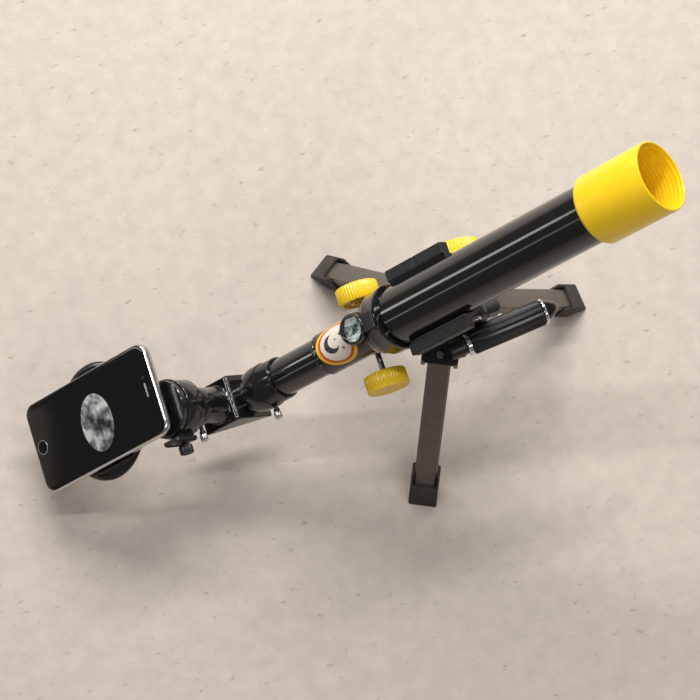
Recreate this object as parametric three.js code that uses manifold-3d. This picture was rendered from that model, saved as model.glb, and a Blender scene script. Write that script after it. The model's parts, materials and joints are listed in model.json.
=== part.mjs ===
// A small refracting telescope on a folding tabletop tripod, with a right-angle diagonal,
// a clamp-on phone holder and a plain phone resting on it.
// Millimetres, +Z up, +X the way the tube is aimed, +Y to its left.
import * as THREE from "three";
import { mergeVertices } from "three/addons/utils/BufferGeometryUtils.js";
import Module from "manifold-3d";

const wasm = await Module();
wasm.setup();

// Driving dimensions.
const tubeAltitude = 42.5;
const pivotX = 14;
const pivotZ = 166;
const axisAbovePivot = 40;
const cradleCentre = 33;
const tubeRadius = 20.5;
const tubeBore = 19.2;
const tubeFront = 190;
const shieldRadius = 24.5;
const shieldBack = 184;
const shieldFront = 238;
const collarRadius = 23.5;
const collarLength = 22;
const collarFront = 2;
const compassX = -20.5;
const labelX = -46.5;
const focuserRadius = 15.6;
const focuserBack = -70.5;
const drawRadius = 14;
const drawBore = 12.3;
const shaftX = -40.1;
const shaftDrop = 18.2;
const focusKnobRadius = 15.6;
const focusKnobWidth = 12.5;
const focusKnobOffset = 33.4;
const diagonalX = -170.5;
const diagonalHalf = 17;
const ringScrewX = -131.3;
const eyepieceTop = 66;
const plateLow = 70.4;
const plateHigh = 73;
const phoneBackZ = 76.6;
const phoneLength = 138;
const phoneWidth = 70;
const phoneThick = 7.6;
const phoneBehind = 59.5;
const phoneAside = 15.6;
const plateBehind = 63.5;
const plateAside = 15;
const plateRadius = 44;
const clampZ = 62;
const hubTop = 139.3;
const hubRadius = 30;
const legHeading = 5;
const legHingeRadius = 28;
const legHingeZ = 131;
const legAngle = 57.9;
const legWidth = 17;
const legEnd = 141;
const gap = 0.3;
const round = 24;
const handleHeading = 5.5;
const tiltWheelRadius = 21;

const rad = THREE.MathUtils.degToRad;

// Materials.
function finish(colour, roughness, metalness) {
  return new THREE.MeshStandardMaterial({ color: colour, roughness, metalness });
}
const looks = {
  black: () => finish(0x0c0c0d, 0.25, 0),
  satinBlack: () => finish(0x17171a, 0.55, 0),
  yellow: () => finish(0xf8c815, 0.35, 0),
  legGrey: () => finish(0x6b625a, 0.5, 0.4),
  rubber: () => finish(0x3f3a35, 0.85, 0),
  chrome: () => finish(0xc9ccd0, 0.15, 1),
  steel: () => finish(0xaeb2b6, 0.3, 1),
  glass: () => finish(0xbfd4dc, 0.05, 0),
  label: () => finish(0xf4ead2, 0.5, 0),
  dial: () => finish(0xb9c4bd, 0.35, 0.3),
  screen: () => finish(0x050506, 0.08, 0),
  needle: () => finish(0xb3261e, 0.4, 0),
};

// Geometry helpers.
function bare(geometry) {
  const plain = geometry.index ? geometry.toNonIndexed() : geometry.clone();
  plain.deleteAttribute("normal");
  plain.deleteAttribute("uv");
  return mergeVertices(plain, 1e-4);
}

function solid(geometry) {
  const merged = bare(geometry);
  return new wasm.Manifold(
    new wasm.Mesh({
      numProp: 3,
      vertProperties: new Float32Array(merged.attributes.position.array),
      triVerts: new Uint32Array(merged.index.array),
    }),
  );
}

function surface(body) {
  const mesh = body.getMesh();
  const indexed = new THREE.BufferGeometry();
  indexed.setAttribute("position", new THREE.BufferAttribute(mesh.vertProperties, 3));
  indexed.setIndex(new THREE.BufferAttribute(mesh.triVerts, 1));
  const flat = indexed.toNonIndexed();
  flat.computeVertexNormals();
  return flat;
}

function joined(first, ...others) {
  let body = solid(first);
  for (const other of others) body = body.add(solid(other));
  return surface(body);
}

function cut(first, ...tools) {
  let body = solid(first);
  for (const tool of tools) body = body.subtract(solid(tool));
  return surface(body);
}

// A turned shape about Z from [radius, height] pairs, listed anticlockwise.
function turned(profile, segments = round) {
  const points = profile.map(([r, z]) => new THREE.Vector2(r, z));
  return new THREE.LatheGeometry(points, segments).rotateX(Math.PI / 2);
}

function ring(inner, outer, low, high, segments = round) {
  const profile = [
    [inner, low],
    [outer, low],
    [outer, high],
    [inner, high],
    [inner, low],
  ];
  return turned(profile, segments);
}

function disc(radius, low, high, segments = round) {
  const profile = [
    [0, low],
    [radius, low],
    [radius, high],
    [0, high],
  ];
  return turned(profile, segments);
}

const alongX = (geometry) => geometry.rotateY(Math.PI / 2);
const alongY = (geometry) => geometry.rotateX(-Math.PI / 2);

function block(x0, x1, y0, y1, z0, z1) {
  const shape = new THREE.BoxGeometry(x1 - x0, y1 - y0, z1 - z0);
  return shape.translate((x0 + x1) / 2, (y0 + y1) / 2, (z0 + z1) / 2);
}

// A round-cornered plate between two heights, centred on x and y.
function plate(length, width, corner, low, high) {
  const x = length / 2 - corner;
  const y = width / 2 - corner;
  const shape = new THREE.Shape();
  shape.absarc(x, y, corner, 0, Math.PI / 2);
  shape.absarc(-x, y, corner, Math.PI / 2, Math.PI);
  shape.absarc(-x, -y, corner, Math.PI, 1.5 * Math.PI);
  shape.absarc(x, -y, corner, 1.5 * Math.PI, 2 * Math.PI);
  const options = { depth: high - low, bevelEnabled: false, curveSegments: 4 };
  return new THREE.ExtrudeGeometry(shape, options).translate(0, 0, low);
}

// A prism across Y, from corners given as [x, z] pairs.
function crossPrism(corners, y0, y1) {
  const shape = new THREE.Shape(corners.map(([x, z]) => new THREE.Vector2(x, -z)));
  const options = { depth: y1 - y0, bevelEnabled: false };
  return new THREE.ExtrudeGeometry(shape, options).rotateX(-Math.PI / 2).translate(0, y0, 0);
}

// A grip wheel about Z with grooves along its rim.
function knurled(radius, depth, teeth, low, high, bore) {
  const shape = new THREE.Shape();
  for (let i = 0; i < teeth * 4; i += 1) {
    const angle = (i / (teeth * 4)) * 2 * Math.PI;
    const r = i % 4 < 2 ? radius : radius - depth;
    const x = r * Math.cos(angle);
    const y = r * Math.sin(angle);
    if (i === 0) shape.moveTo(x, y);
    else shape.lineTo(x, y);
  }
  shape.closePath();
  if (bore) shape.holes.push(new THREE.Path().absarc(0, 0, bore, 0, 2 * Math.PI, true));
  const options = { depth: high - low, bevelEnabled: false, curveSegments: 4 };
  return new THREE.ExtrudeGeometry(shape, options).translate(0, 0, low);
}

function piece(name, geometry, look) {
  const mesh = new THREE.Mesh(geometry, looks[look]());
  mesh.name = name;
  return mesh;
}

function group(parent, x, y, z) {
  const made = new THREE.Group();
  made.position.set(x, y, z);
  parent.add(made);
  return made;
}

const telescope = new THREE.Group();

// Tripod hub: a round cap over a core, with a pair of cheeks and a lug for each leg.
function addHub(parent) {
  let body = solid(ring(8.3, 17, 118, 137.5));
  body = body.add(solid(ring(8.3, hubRadius, 137.3, hubTop)));
  for (let leg = 0; leg < 3; leg += 1) {
    const turn = rad(legHeading + 120 * leg);
    const lug = plate(26, 26.4, 4, 137.3, hubTop).translate(25, 0, 0).rotateZ(turn);
    body = body.add(solid(lug));
    for (const side of [-1, 1]) {
      const cheek = block(14, 36, side * 11.7 - 1.5, side * 11.7 + 1.5, 122, 137.5);
      body = body.add(solid(cheek.rotateZ(turn)));
      const hole = alongY(disc(2.2, side * 11.7 - 3, side * 11.7 + 3, 12));
      body = body.subtract(solid(hole.translate(legHingeRadius, 0, legHingeZ).rotateZ(turn)));
    }
  }
  body = body.subtract(solid(disc(8.3, 110, 145)));
  parent.add(piece("hub", surface(body), "satinBlack"));
}

// One leg: a folded sheet channel on a cross pin, with a rubber foot cut level with the floor.
function channel() {
  const half = legWidth / 2;
  const wall = 1.4;
  const shape = new THREE.Shape();
  shape.moveTo(-half, -5);
  shape.lineTo(-half + wall, -5);
  shape.lineTo(-half + wall, 1.9);
  shape.lineTo(-half + 3, 2.8);
  shape.lineTo(half - 3, 2.8);
  shape.lineTo(half - wall, 1.9);
  shape.lineTo(half - wall, -5);
  shape.lineTo(half, -5);
  shape.lineTo(half, 2.4);
  shape.quadraticCurveTo(half, 3.6, half - 2.2, 4);
  shape.quadraticCurveTo(0, 4.9, -half + 2.2, 4);
  shape.quadraticCurveTo(-half, 3.6, -half, 2.4);
  shape.closePath();
  const options = { depth: legEnd + 4, bevelEnabled: false, curveSegments: 4 };
  const sheet = new THREE.ExtrudeGeometry(shape, options);
  return sheet.rotateX(Math.PI / 2).rotateZ(Math.PI / 2).translate(-4, 0, 0);
}

function foot() {
  const half = legWidth / 2 + 2.2;
  const outer = block(126, 166, -half, half, -7.6, 6.9);
  const pocket = block(120, legEnd + gap, -legWidth / 2 - gap, legWidth / 2 + gap, -5.3, 5.1);
  const mouth = block(120, 138, -legWidth / 2 - gap, legWidth / 2 + gap, 3, 12);
  let body = solid(outer).subtract(solid(pocket)).subtract(solid(mouth));
  const angle = rad(legAngle);
  const floor = block(-400, 400, -50, 50, -200, 0);
  floor.translate(-legHingeRadius, 0, -legHingeZ).rotateY(-angle);
  body = body.subtract(solid(floor));
  return surface(body);
}

function addLeg(parent, number) {
  const spoke = group(parent, 0, 0, 0);
  spoke.rotation.z = rad(legHeading + 120 * (number - 1));
  const hinge = group(spoke, legHingeRadius, 0, legHingeZ);
  hinge.add(piece(`leg_pin_${number}`, alongY(disc(2, -14.2, 14.2, 24)), "steel"));
  const leg = group(hinge, 0, 0, 0);
  leg.rotation.y = rad(legAngle);
  const bore = alongY(disc(2.3, -12, 12, 16));
  leg.add(piece(`leg_${number}`, cut(channel(), bore), "legGrey"));
  leg.add(piece(`foot_${number}`, foot(), "rubber"));
}

// Turning head: a spigot in the hub, a fork for the tilt joint and an arm for the handle.
function addHead(parent) {
  let body = solid(disc(8, 120.4, hubTop + 1));
  body = body.add(solid(disc(21, hubTop + gap, 145)));
  for (const side of [-1, 1]) {
    const cheek = block(pivotX - 11, pivotX + 11, side * 12.2 - 2.8, side * 12.2 + 2.8, 144, pivotZ);
    const eye = alongY(disc(11, side * 12.2 - 2.8, side * 12.2 + 2.8));
    body = body.add(solid(cheek)).add(solid(eye.translate(pivotX, 0, pivotZ)));
  }
  const arm = block(-10, 4, -35, -10, hubTop + gap, 142);
  body = body.add(solid(arm));
  body = body.subtract(solid(alongY(disc(3.3, -30, 30, 16)).translate(pivotX, 0, pivotZ)));
  parent.add(piece("pan_head", surface(body), "satinBlack"));
  const nut = joined(disc(11.5, 114, 117.6), disc(7.6, 117, 120.1));
  parent.add(piece("pan_nut", nut, "satinBlack"));
}

// Handle: a steel rod with a ribbed grip between two bright rings.
function addHandle(parent) {
  const handle = group(parent, 6, -28.5, 149.8);
  handle.rotation.z = rad(handleHeading);
  const socket = turned([[0, -13], [7, -13], [7, -1], [0, -1]]);
  const rest = block(-13, -1, -5, 5, -7.5, 0);
  handle.add(piece("handle_socket", joined(alongX(socket), rest), "satinBlack"));
  const grip = knurled(9.6, 1.3, 12, 3, 58, 0);
  handle.add(piece("handle_grip", alongX(grip), "black"));
  handle.add(piece("handle_ring_back", alongX(disc(9.2, -0.7, 2.7)), "chrome"));
  handle.add(piece("handle_ring_front", alongX(disc(9.2, 58.3, 60.3)), "chrome"));
  const tip = [[0, 60.6], [7.6, 60.6], [5, 66], [2.6, 69], [0, 69.6]];
  handle.add(piece("handle_tip", alongX(turned(tip)), "black"));
}

// Tilt lock: a bolt through the fork with a large grip wheel on the left.
function addTiltLock(parent) {
  const lock = group(parent, pivotX, 0, pivotZ);
  const bolt = [[0, -19], [6, -19], [6, -15.4], [3, -15.4], [3, 37.6], [0, 37.6]];
  lock.add(piece("tilt_bolt", alongY(turned(bolt, 16)), "steel"));
  const wheel = knurled(tiltWheelRadius, 0.8, 24, 18, 38, 3.3);
  const hub = ring(3.3, 8, 15.5, 18.2);
  lock.add(piece("tilt_knob", alongY(joined(wheel, hub)), "yellow"));
}

// Cradle: a half pipe with box rails on both sides and the tilt lug beneath.
function addCradle(optics) {
  const front = cradleCentre + 26.5;
  const back = cradleCentre - 26.5;
  const shell = alongX(ring(tubeRadius + gap, 24, back, front, 32));
  const upper = block(back - 1, front + 1, -40, 40, 4, 60);
  let body = solid(shell).subtract(solid(upper));
  for (const side of [-1, 1]) {
    const near = side > 0 ? 21.6 : -31.5;
    const far = side > 0 ? 31.5 : -21.6;
    body = body.add(solid(block(back, front, near, far, -3.5, 5)));
  }
  const lugTop = -22.6;
  const lug = block(cradleCentre - 10, cradleCentre + 10, -9, 9, -axisAbovePivot, lugTop);
  const pad = block(cradleCentre - 17, cradleCentre + 17, -13, 13, -26, lugTop + 4);
  body = body.add(solid(lug)).add(solid(pad));
  body = body.add(solid(alongY(disc(10, -9, 9)).translate(cradleCentre, 0, -axisAbovePivot)));
  body = body.subtract(solid(alongX(disc(tubeRadius + gap, back - 1, front + 1, 32))));
  const eye = alongY(disc(3.3, -20, 20, 16)).translate(cradleCentre, 0, -axisAbovePivot);
  body = body.subtract(solid(eye));
  optics.add(piece("cradle", surface(body), "satinBlack"));
}

// Front optics: tube, dew shield, lens and its cell.
function addTube(optics) {
  const tube = alongX(ring(tubeBore, tubeRadius, -14, tubeFront, 32));
  optics.add(piece("main_tube", tube, "black"));
  const shield = [
    [20.8, shieldBack],
    [shieldRadius - 0.8, shieldBack],
    [shieldRadius, shieldBack + 1],
    [shieldRadius, shieldFront - 0.8],
    [shieldRadius - 0.6, shieldFront],
    [shieldRadius - 1.9, shieldFront],
    [shieldRadius - 2.2, shieldFront - 3],
    [shieldRadius - 2.6, shieldFront - 3],
    [shieldRadius - 2.6, shieldFront - 9],
    [shieldRadius - 3.1, shieldFront - 9],
    [shieldRadius - 3.1, shieldBack + 12],
    [20.8, shieldBack + 12],
    [20.8, shieldBack],
  ];
  optics.add(piece("dew_shield", alongX(turned(shield, 32)), "yellow"));
  optics.add(piece("lens_cell", alongX(ring(16.4, tubeBore - 0.1, 172, 176)), "satinBlack"));
  optics.add(piece("lens_ring", alongX(ring(16.4, tubeBore - 0.1, 183, 187)), "satinBlack"));
  const lens = [[0, 176.3], [18, 177.9], [18.8, 178], [18.8, 181], [18, 181.2], [0, 182.7]];
  optics.add(piece("objective_lens", alongX(turned(lens)), "glass"));
}

// Rear collar with the compass bracket on top.
function addCollar(optics) {
  const profile = [
    [focuserRadius + gap, -collarLength],
    [17.8, -collarLength],
    [20.8, -17],
    [23, -11.5],
    [23.4, -10],
    [23.4, -1.4],
    [collarRadius + 0.5, -1],
    [collarRadius + 0.5, collarFront - 0.3],
    [collarRadius, collarFront],
    [tubeRadius + gap, collarFront],
    [tubeRadius + gap, -14.3],
    [focuserRadius + gap, -14.3],
    [focuserRadius + gap, -collarLength],
  ];
  let body = solid(alongX(turned(profile, 32)));
  const tab = block(-30, 0, -6.5, 6.5, 16.5, 25.2);
  body = body.add(solid(tab));
  body = body.add(solid(disc(11.8, 18, 20.8).translate(compassX, 0, 0)));
  body = body.subtract(solid(disc(11.3, 20.4, 34).translate(compassX, 0, 0)));
  body = body.subtract(solid(alongX(disc(focuserRadius + gap, -60, -10))));
  body = body.subtract(solid(alongX(disc(tubeRadius + gap, -14.3, 5, 32))));
  optics.add(piece("rear_collar", surface(body), "satinBlack"));
}

function addCompass(optics) {
  const compass = group(optics, compassX, 0, 20.8);
  const cup = [[0, 0], [10.9, 0], [10.9, 5.2], [9.9, 5.6], [9.2, 5.6], [9.2, 1.2], [0, 1.2]];
  compass.add(piece("compass_case", turned(cup), "black"));
  const dial = ring(1, 8.9, 1.4, 2);
  compass.add(piece("compass_dial", dial, "dial"));
  const pin = turned([[0, 1.4], [0.6, 1.4], [0.6, 3.9], [0, 3.9]], 16);
  compass.add(piece("compass_pin", pin, "chrome"));
  const needle = cut(block(-6.6, 6.6, -0.9, 0.9, 2.5, 3.1), disc(0.9, 2, 4, 16));
  needle.rotateZ(rad(35));
  const eye = ring(0.9, 1.9, 2.4, 3.2, 16);
  const pierced = cut(joined(needle, eye), disc(0.9, 2, 4, 16));
  compass.add(piece("compass_needle", pierced, "needle"));
  const crystal = [[0, 4.2], [8.9, 4.2], [8.9, 4.9], [0, 5.4]];
  compass.add(piece("compass_crystal", turned(crystal), "glass"));
}

// Focuser: a sleeve with the pinion housing below and a round label on top.
function addFocuser(optics) {
  let body = solid(alongX(ring(drawRadius + gap, focuserRadius, focuserBack, -14.7)));
  const housing = block(shaftX - 8, shaftX + 8, -10, 10, -shaftDrop - 6.5, -8);
  body = body.add(solid(housing));
  body = body.subtract(solid(alongX(disc(drawRadius + gap, focuserBack - 5, -5))));
  const well = alongY(disc(4.6, -6.4, 6.4, 16)).translate(shaftX, 0, -shaftDrop);
  const bore = alongY(disc(2.6, -20, 20, 16)).translate(shaftX, 0, -shaftDrop);
  body = body.subtract(solid(well)).subtract(solid(bore));
  optics.add(piece("focuser_body", surface(body), "black"));
}

// The label wraps the sleeve: a round patch of a thin shell.
function addLabel(optics) {
  const shell = alongX(ring(focuserRadius + 0.1, focuserRadius + 0.5, -68, -22.5, 32));
  const patch = disc(14.6, 0, 30).scale(1.28, 1, 1).translate(labelX, 0, 0);
  const body = solid(shell).intersect(solid(patch));
  optics.add(piece("round_label", surface(body), "label"));
}

// Drawtube with its end ring, and the toothed pinion shaft with both wheels.
function addDrawtube(optics) {
  const tube = solid(alongX(ring(drawBore, drawRadius, -126, -2)));
  const groove = block(-112, -1, -2.6, 2.6, -15, -13.3);
  optics.add(piece("drawtube", surface(tube.subtract(solid(groove))), "black"));
  const profile = [
    [drawRadius + 0.1, -115.5],
    [drawRadius + 0.1, -126.4],
    [10.2, -126.4],
    [10.2, -146.3],
    [15.6, -146.3],
    [16.2, -144],
    [17, -140.6],
    [17, -130.4],
    [16, -130],
    [16, -116],
    [15.6, -115.5],
    [drawRadius + 0.1, -115.5],
  ];
  let end = solid(alongX(turned(profile.reverse())));
  if (end.volume() < 0) end = solid(alongX(turned(profile.reverse())));
  end = end.subtract(solid(alongY(disc(1.9, -20, 0, 16)).translate(ringScrewX, 0, 0)));
  optics.add(piece("drawtube_ring", surface(end), "black"));
}

function addFocusShaft(optics) {
  const shaft = group(optics, shaftX, 0, -shaftDrop);
  const reach = focusKnobOffset + focusKnobWidth / 2 - 2;
  const rod = solid(alongY(disc(2.3, -reach, reach, 16)));
  const gear = alongY(knurled(3.7, 0.7, 12, -5.5, 5.5, 0));
  shaft.add(piece("focus_shaft", surface(rod.add(solid(gear))), "chrome"));
  for (const [side, name] of [[1, "left"], [-1, "right"]]) {
    const low = focusKnobOffset - focusKnobWidth / 2;
    const high = focusKnobOffset + focusKnobWidth / 2;
    let wheel = solid(knurled(focusKnobRadius, 0.6, 22, low, high, 0));
    wheel = wheel.subtract(solid(disc(2.4, low - 1, high - 1.4, 24)));
    wheel = wheel.subtract(solid(ring(5, 13, low - 1, low + 2.5)));
    const knob = alongY(surface(wheel));
    if (side < 0) knob.rotateZ(Math.PI);
    shaft.add(piece(`focus_knob_${name}`, knob, "yellow"));
  }
}

// A thumbscrew along -Y: a slim stem and a round head.
function thumbscrew(tip, headLow) {
  const profile = [
    [0, tip],
    [1.5, tip],
    [1.5, headLow - 2],
    [2.2, headLow - 2],
    [2.2, headLow],
    [2.9, headLow + 0.3],
    [2.9, headLow + 4.6],
    [2.2, headLow + 5],
    [0, headLow + 5],
  ];
  return alongY(turned(profile, 16)).rotateZ(Math.PI);
}

// Right-angle diagonal: nose, three-sided box, mirror, ridge strip and eyepiece socket.
function addDiagonal(optics) {
  const d = diagonalHalf;
  const nose = alongX(ring(8.6, 9.8, diagonalX + d - 2, -128));
  const corners = [
    [diagonalX + d, d],
    [diagonalX - d - 2, d],
    [diagonalX + d, -d - 2],
  ];
  let box = solid(crossPrism(corners, -d, d));
  const inner = [
    [diagonalX + d - 2, d - 2],
    [diagonalX - d + 4.4, d - 2],
    [diagonalX + d - 2, -d + 4.4],
  ];
  box = box.subtract(solid(crossPrism(inner, -d + 2, d - 2)));
  box = box.add(solid(alongX(ring(8.6, 13.6, diagonalX + d - 1, diagonalX + d + 6.5))));
  box = box.add(solid(nose));
  box = box.subtract(solid(alongX(disc(8.6, diagonalX + 6, -120))));
  const holder = [
    [11.2, d - 1],
    [13.6, d - 1],
    [13.6, d + 19],
    [13.9, d + 19.4],
    [13.9, d + 28],
    [11.2, d + 28],
    [11.2, d - 1],
  ];
  box = box.add(solid(turned(holder).translate(diagonalX, 0, 0)));
  box = box.subtract(solid(disc(11.2, 8, 60).translate(diagonalX, 0, 0)));
  const screwHole = alongY(disc(1.9, -20, 0, 16)).translate(diagonalX, 0, d + 23.5);
  box = box.subtract(solid(screwHole));
  optics.add(piece("diagonal_box", surface(box), "black"));
  const strip = block(diagonalX + d - 3.2, diagonalX + d - 0.2, -15.6, 15.6, d + 0.1, d + 0.9);
  optics.add(piece("ridge_strip", strip, "steel"));
  addDiagonalPlate(optics);
}

// The ribbed plate on the sloping back, and the mirror inside it.
function addDiagonalPlate(optics) {
  const slope = group(optics, diagonalX - 1, 0, -1);
  slope.rotation.y = rad(45);
  const half = diagonalHalf - 0.4;
  let body = solid(block(-24.6, 24.6, -half, half, -3.2, -0.3));
  for (let i = 0; i < 8; i += 1) {
    const x = -21 + i * 6;
    body = body.subtract(solid(block(x - 0.9, x + 0.9, -14.6, 14.6, -4, -2.3)));
  }
  slope.add(piece("diagonal_plate", surface(body), "satinBlack"));
  slope.add(piece("diagonal_mirror", block(-15.6, 15.6, -13, 13, 3.5, 4.6), "chrome"));
}

// Eyepiece in the socket, with the phone holder clamped round it.
function addEyepiece(optics) {
  const eye = group(optics, diagonalX, 0, 0);
  const barrel = [
    [8.8, 21],
    [10.9, 21],
    [10.9, 45.5],
    [15, 45.5],
    [15, eyepieceTop - 1.5],
    [13, eyepieceTop],
    [6, eyepieceTop],
    [6, eyepieceTop - 3],
    [8.8, eyepieceTop - 3],
    [8.8, 21],
  ];
  eye.add(piece("eyepiece", turned(barrel), "black"));
  const lens = [[0, 52.2], [8.5, 53.2], [8.5, 55.4], [0, 56.6]];
  eye.add(piece("eye_lens", turned(lens), "glass"));
}

// The holder: clamp band with its split ears, stepped flange, arm and round phone plate.
function addHolder(optics) {
  const holder = group(optics, diagonalX, 0, 0);
  const band = [
    [15.3, 50.5],
    [20.2, 50.5],
    [20.7, 51.1],
    [20.7, 66],
    [21.8, 66.3],
    [21.8, 68.6],
    [20.9, 69],
    [20.9, plateHigh],
    [7, plateHigh],
    [7, eyepieceTop + 0.5],
    [15.3, eyepieceTop + 0.5],
    [15.3, 50.5],
  ];
  let body = solid(turned(band));
  const wide = disc(plateRadius, plateLow, plateHigh, 32).translate(-plateBehind, plateAside, 0);
  const arm = plate(70, 34, 8, plateLow, plateHigh).rotateZ(rad(-14)).translate(-30, 7, 0);
  body = body.add(solid(wide)).add(solid(arm));
  body = body.add(solid(block(-6.5, 6.5, -22.8, -18, clampZ - 6, clampZ + 6)));
  body = body.subtract(solid(disc(7, eyepieceTop - 2, phoneBackZ)));
  body = body.subtract(solid(disc(15.3, 40, eyepieceTop + 0.5)));
  const screwPath = alongY(disc(2.1, -30, -10, 16)).translate(0, 0, clampZ);
  body = body.subtract(solid(screwPath));
  holder.add(piece("phone_plate", surface(body), "black"));
  const jaw = cut(block(-8, 8, -26, -23.2, 54, 76), screwPath);
  holder.add(piece("clamp_jaw", jaw, "satinBlack"));
  for (const [i, [dx, dy]] of [[18, 18], [18, -18], [-18, 18], [-18, -18]].entries()) {
    const cup = [
      [0, plateHigh + 0.1],
      [7.4, plateHigh + 0.1],
      [8, plateHigh + 0.6],
      [6.4, phoneBackZ - 0.3],
      [0, phoneBackZ - 0.3],
    ];
    const pad = turned(cup, 16).translate(dx - plateBehind, dy + plateAside, 0);
    holder.add(piece(`grip_pad_${i + 1}`, pad, "rubber"));
  }
}

function addClampScrew(optics) {
  const screw = group(optics, diagonalX, 0, clampZ);
  const stem = solid(alongY(disc(1.8, -34.6, -16, 24)));
  const head = alongY(knurled(5.2, 0.6, 10, -34.6, -28, 0));
  const collar = alongY(disc(3.2, -28.2, -26.3, 24));
  screw.add(piece("clamp_screw", surface(stem.add(solid(head)).add(solid(collar))), "satinBlack"));
}

// Phone: a rounded metal frame with a dark glass front and a home key.
function addPhone(optics) {
  const phone = group(optics, diagonalX - phoneBehind, phoneAside, phoneBackZ);
  const inset = 0.9;
  const low = plate(phoneLength - 2, phoneWidth - 2, 8.5, 0, 1.4);
  const mid = plate(phoneLength, phoneWidth, 9.5, 1.2, phoneThick - 1.2);
  const high = plate(phoneLength - 2, phoneWidth - 2, 8.5, phoneThick - 1.4, phoneThick);
  let frame = solid(low).add(solid(mid)).add(solid(high));
  const recess = plate(phoneLength - 3, phoneWidth - 3, 8, phoneThick - inset, phoneThick + 1);
  frame = frame.subtract(solid(recess));
  phone.add(piece("phone_frame", surface(frame), "steel"));
  const keyX = -phoneLength / 2 + 9.5;
  const glassBack = phoneThick - inset + 0.15;
  const sheet = plate(phoneLength - 3.6, phoneWidth - 3.6, 7.7, glassBack, phoneThick + 0.1);
  const slot = plate(1.6, 10, 0.75, phoneThick - 1, phoneThick + 1);
  let front = solid(sheet).subtract(solid(disc(5.4, 5, 9, 28).translate(keyX, 0, 0)));
  front = front.subtract(solid(slot.translate(phoneLength / 2 - 8.5, 0, 0)));
  phone.add(piece("phone_glass", surface(front), "screen"));
  const key = disc(5.1, glassBack, phoneThick - 0.1, 28);
  phone.add(piece("home_key", key.translate(keyX, 0, 0), "screen"));
}

addHub(telescope);
for (const number of [1, 2, 3]) addLeg(telescope, number);
addHead(telescope);
addHandle(telescope);
addTiltLock(telescope);
const tilted = group(telescope, pivotX, 0, pivotZ);
tilted.rotation.y = -rad(tubeAltitude);
const optics = group(tilted, -cradleCentre, 0, axisAbovePivot);
addCradle(optics);
addTube(optics);
addCollar(optics);
addCompass(optics);
addFocuser(optics);
addLabel(optics);
addDrawtube(optics);
addFocusShaft(optics);
optics.add(piece("drawtube_screw", thumbscrew(10.2, 21.3).translate(ringScrewX, 0, 0), "steel"));
addDiagonal(optics);
const socketScrew = thumbscrew(11.3, 21.5).translate(diagonalX, 0, diagonalHalf + 23.5);
optics.add(piece("socket_screw", socketScrew, "steel"));
addEyepiece(optics);
addHolder(optics);
addClampScrew(optics);
addPhone(optics);

// Origin: the middle of the footprint of the whole object, at floor level.
telescope.updateMatrixWorld(true);
const extent = new THREE.Box3().setFromObject(telescope, true);
const middle = extent.getCenter(new THREE.Vector3());
telescope.position.set(-middle.x, -middle.y, -extent.min.z);

const part = new THREE.Group();
part.add(telescope);
part.updateMatrixWorld(true);

export default part;
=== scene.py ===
"""A small black and yellow telescope on a tabletop tripod, with a phone on its eyepiece holder."""

import json
import math

import bmesh
import bpy
from mathutils import Matrix, Vector


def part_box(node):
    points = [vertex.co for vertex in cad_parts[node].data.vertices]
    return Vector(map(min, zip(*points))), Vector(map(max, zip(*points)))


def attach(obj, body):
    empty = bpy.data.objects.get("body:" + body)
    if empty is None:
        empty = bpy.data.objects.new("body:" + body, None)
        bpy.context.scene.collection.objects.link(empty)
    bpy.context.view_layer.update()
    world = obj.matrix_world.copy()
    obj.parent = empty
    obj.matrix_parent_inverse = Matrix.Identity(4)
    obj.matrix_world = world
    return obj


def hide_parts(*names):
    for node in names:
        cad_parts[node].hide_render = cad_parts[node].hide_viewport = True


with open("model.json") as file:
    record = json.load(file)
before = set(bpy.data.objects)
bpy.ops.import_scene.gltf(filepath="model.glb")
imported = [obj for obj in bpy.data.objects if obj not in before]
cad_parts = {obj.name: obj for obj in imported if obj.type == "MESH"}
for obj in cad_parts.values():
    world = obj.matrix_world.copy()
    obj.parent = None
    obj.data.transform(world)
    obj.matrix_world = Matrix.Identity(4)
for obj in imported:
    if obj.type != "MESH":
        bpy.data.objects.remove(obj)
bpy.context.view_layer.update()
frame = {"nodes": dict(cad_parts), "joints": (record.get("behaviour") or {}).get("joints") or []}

# Sizes in millimetres. Places ending in _X, _FRONT or _BACK are in the tube's own frame: x along
# the optical axis, forward of the collar, y to the left, z up from the axis.
MM = 0.001
AXIS_ABOVE_PIVOT = 40
CRADLE_CENTRE = 33
CRADLE_HALF = 26.5
CRADLE_R = 23.9
LUG_R = 10
TUBE_R = 20.5
TUBE_BORE = 19.2
TUBE_FRONT = 190
SHIELD_R = 24.5
SHIELD_BACK = 184
SHIELD_FRONT = 238
SHIELD_BORE = 20.8
LENS_R = 18.8
LENS_BACK = 176.3
COLLAR_R = 24
COLLAR_FRONT = 2
COMPASS_X = -20.5
LABEL_X = -46.5
FOCUSER_R = 15.6
FOCUSER_BACK = -70.5
DRAW_R = 14
SHAFT_X = -40.1
SHAFT_DROP = 18.2
KNOB_R = 15.6
KNOB_WIDTH = 12.5
KNOB_OFFSET = 33.4
RACK_START = -111
RACK_PITCH = 2
RING_FRONT = -115.5
RING_BACK = -146.3
RING_SCREW_X = -131.3
DIAGONAL_X = -170.5
DIAGONAL_HALF = 17
EYEPIECE_TOP = 66
PLATE_LOW = 70.4
PLATE_HIGH = 73
PLATE_BEHIND = 63.5
PLATE_ASIDE = 15
PLATE_R = 44
CLAMP_Z = 62
CLAMP_BACK_Z = 50.5
PAD_SPACING = 18
PHONE_BACK_Z = 76.6
PHONE_LENGTH = 138
PHONE_WIDTH = 70
PHONE_THICK = 7.6
PHONE_BEHIND = 59.5
PHONE_ASIDE = 15.6
LEG_ANGLE = 57.9
LEG_WIDTH = 17
LEG_END = 141
LEG_WORDS = ("one", "two", "three")
HUB_SCREW_RADIUS = 31
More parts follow.
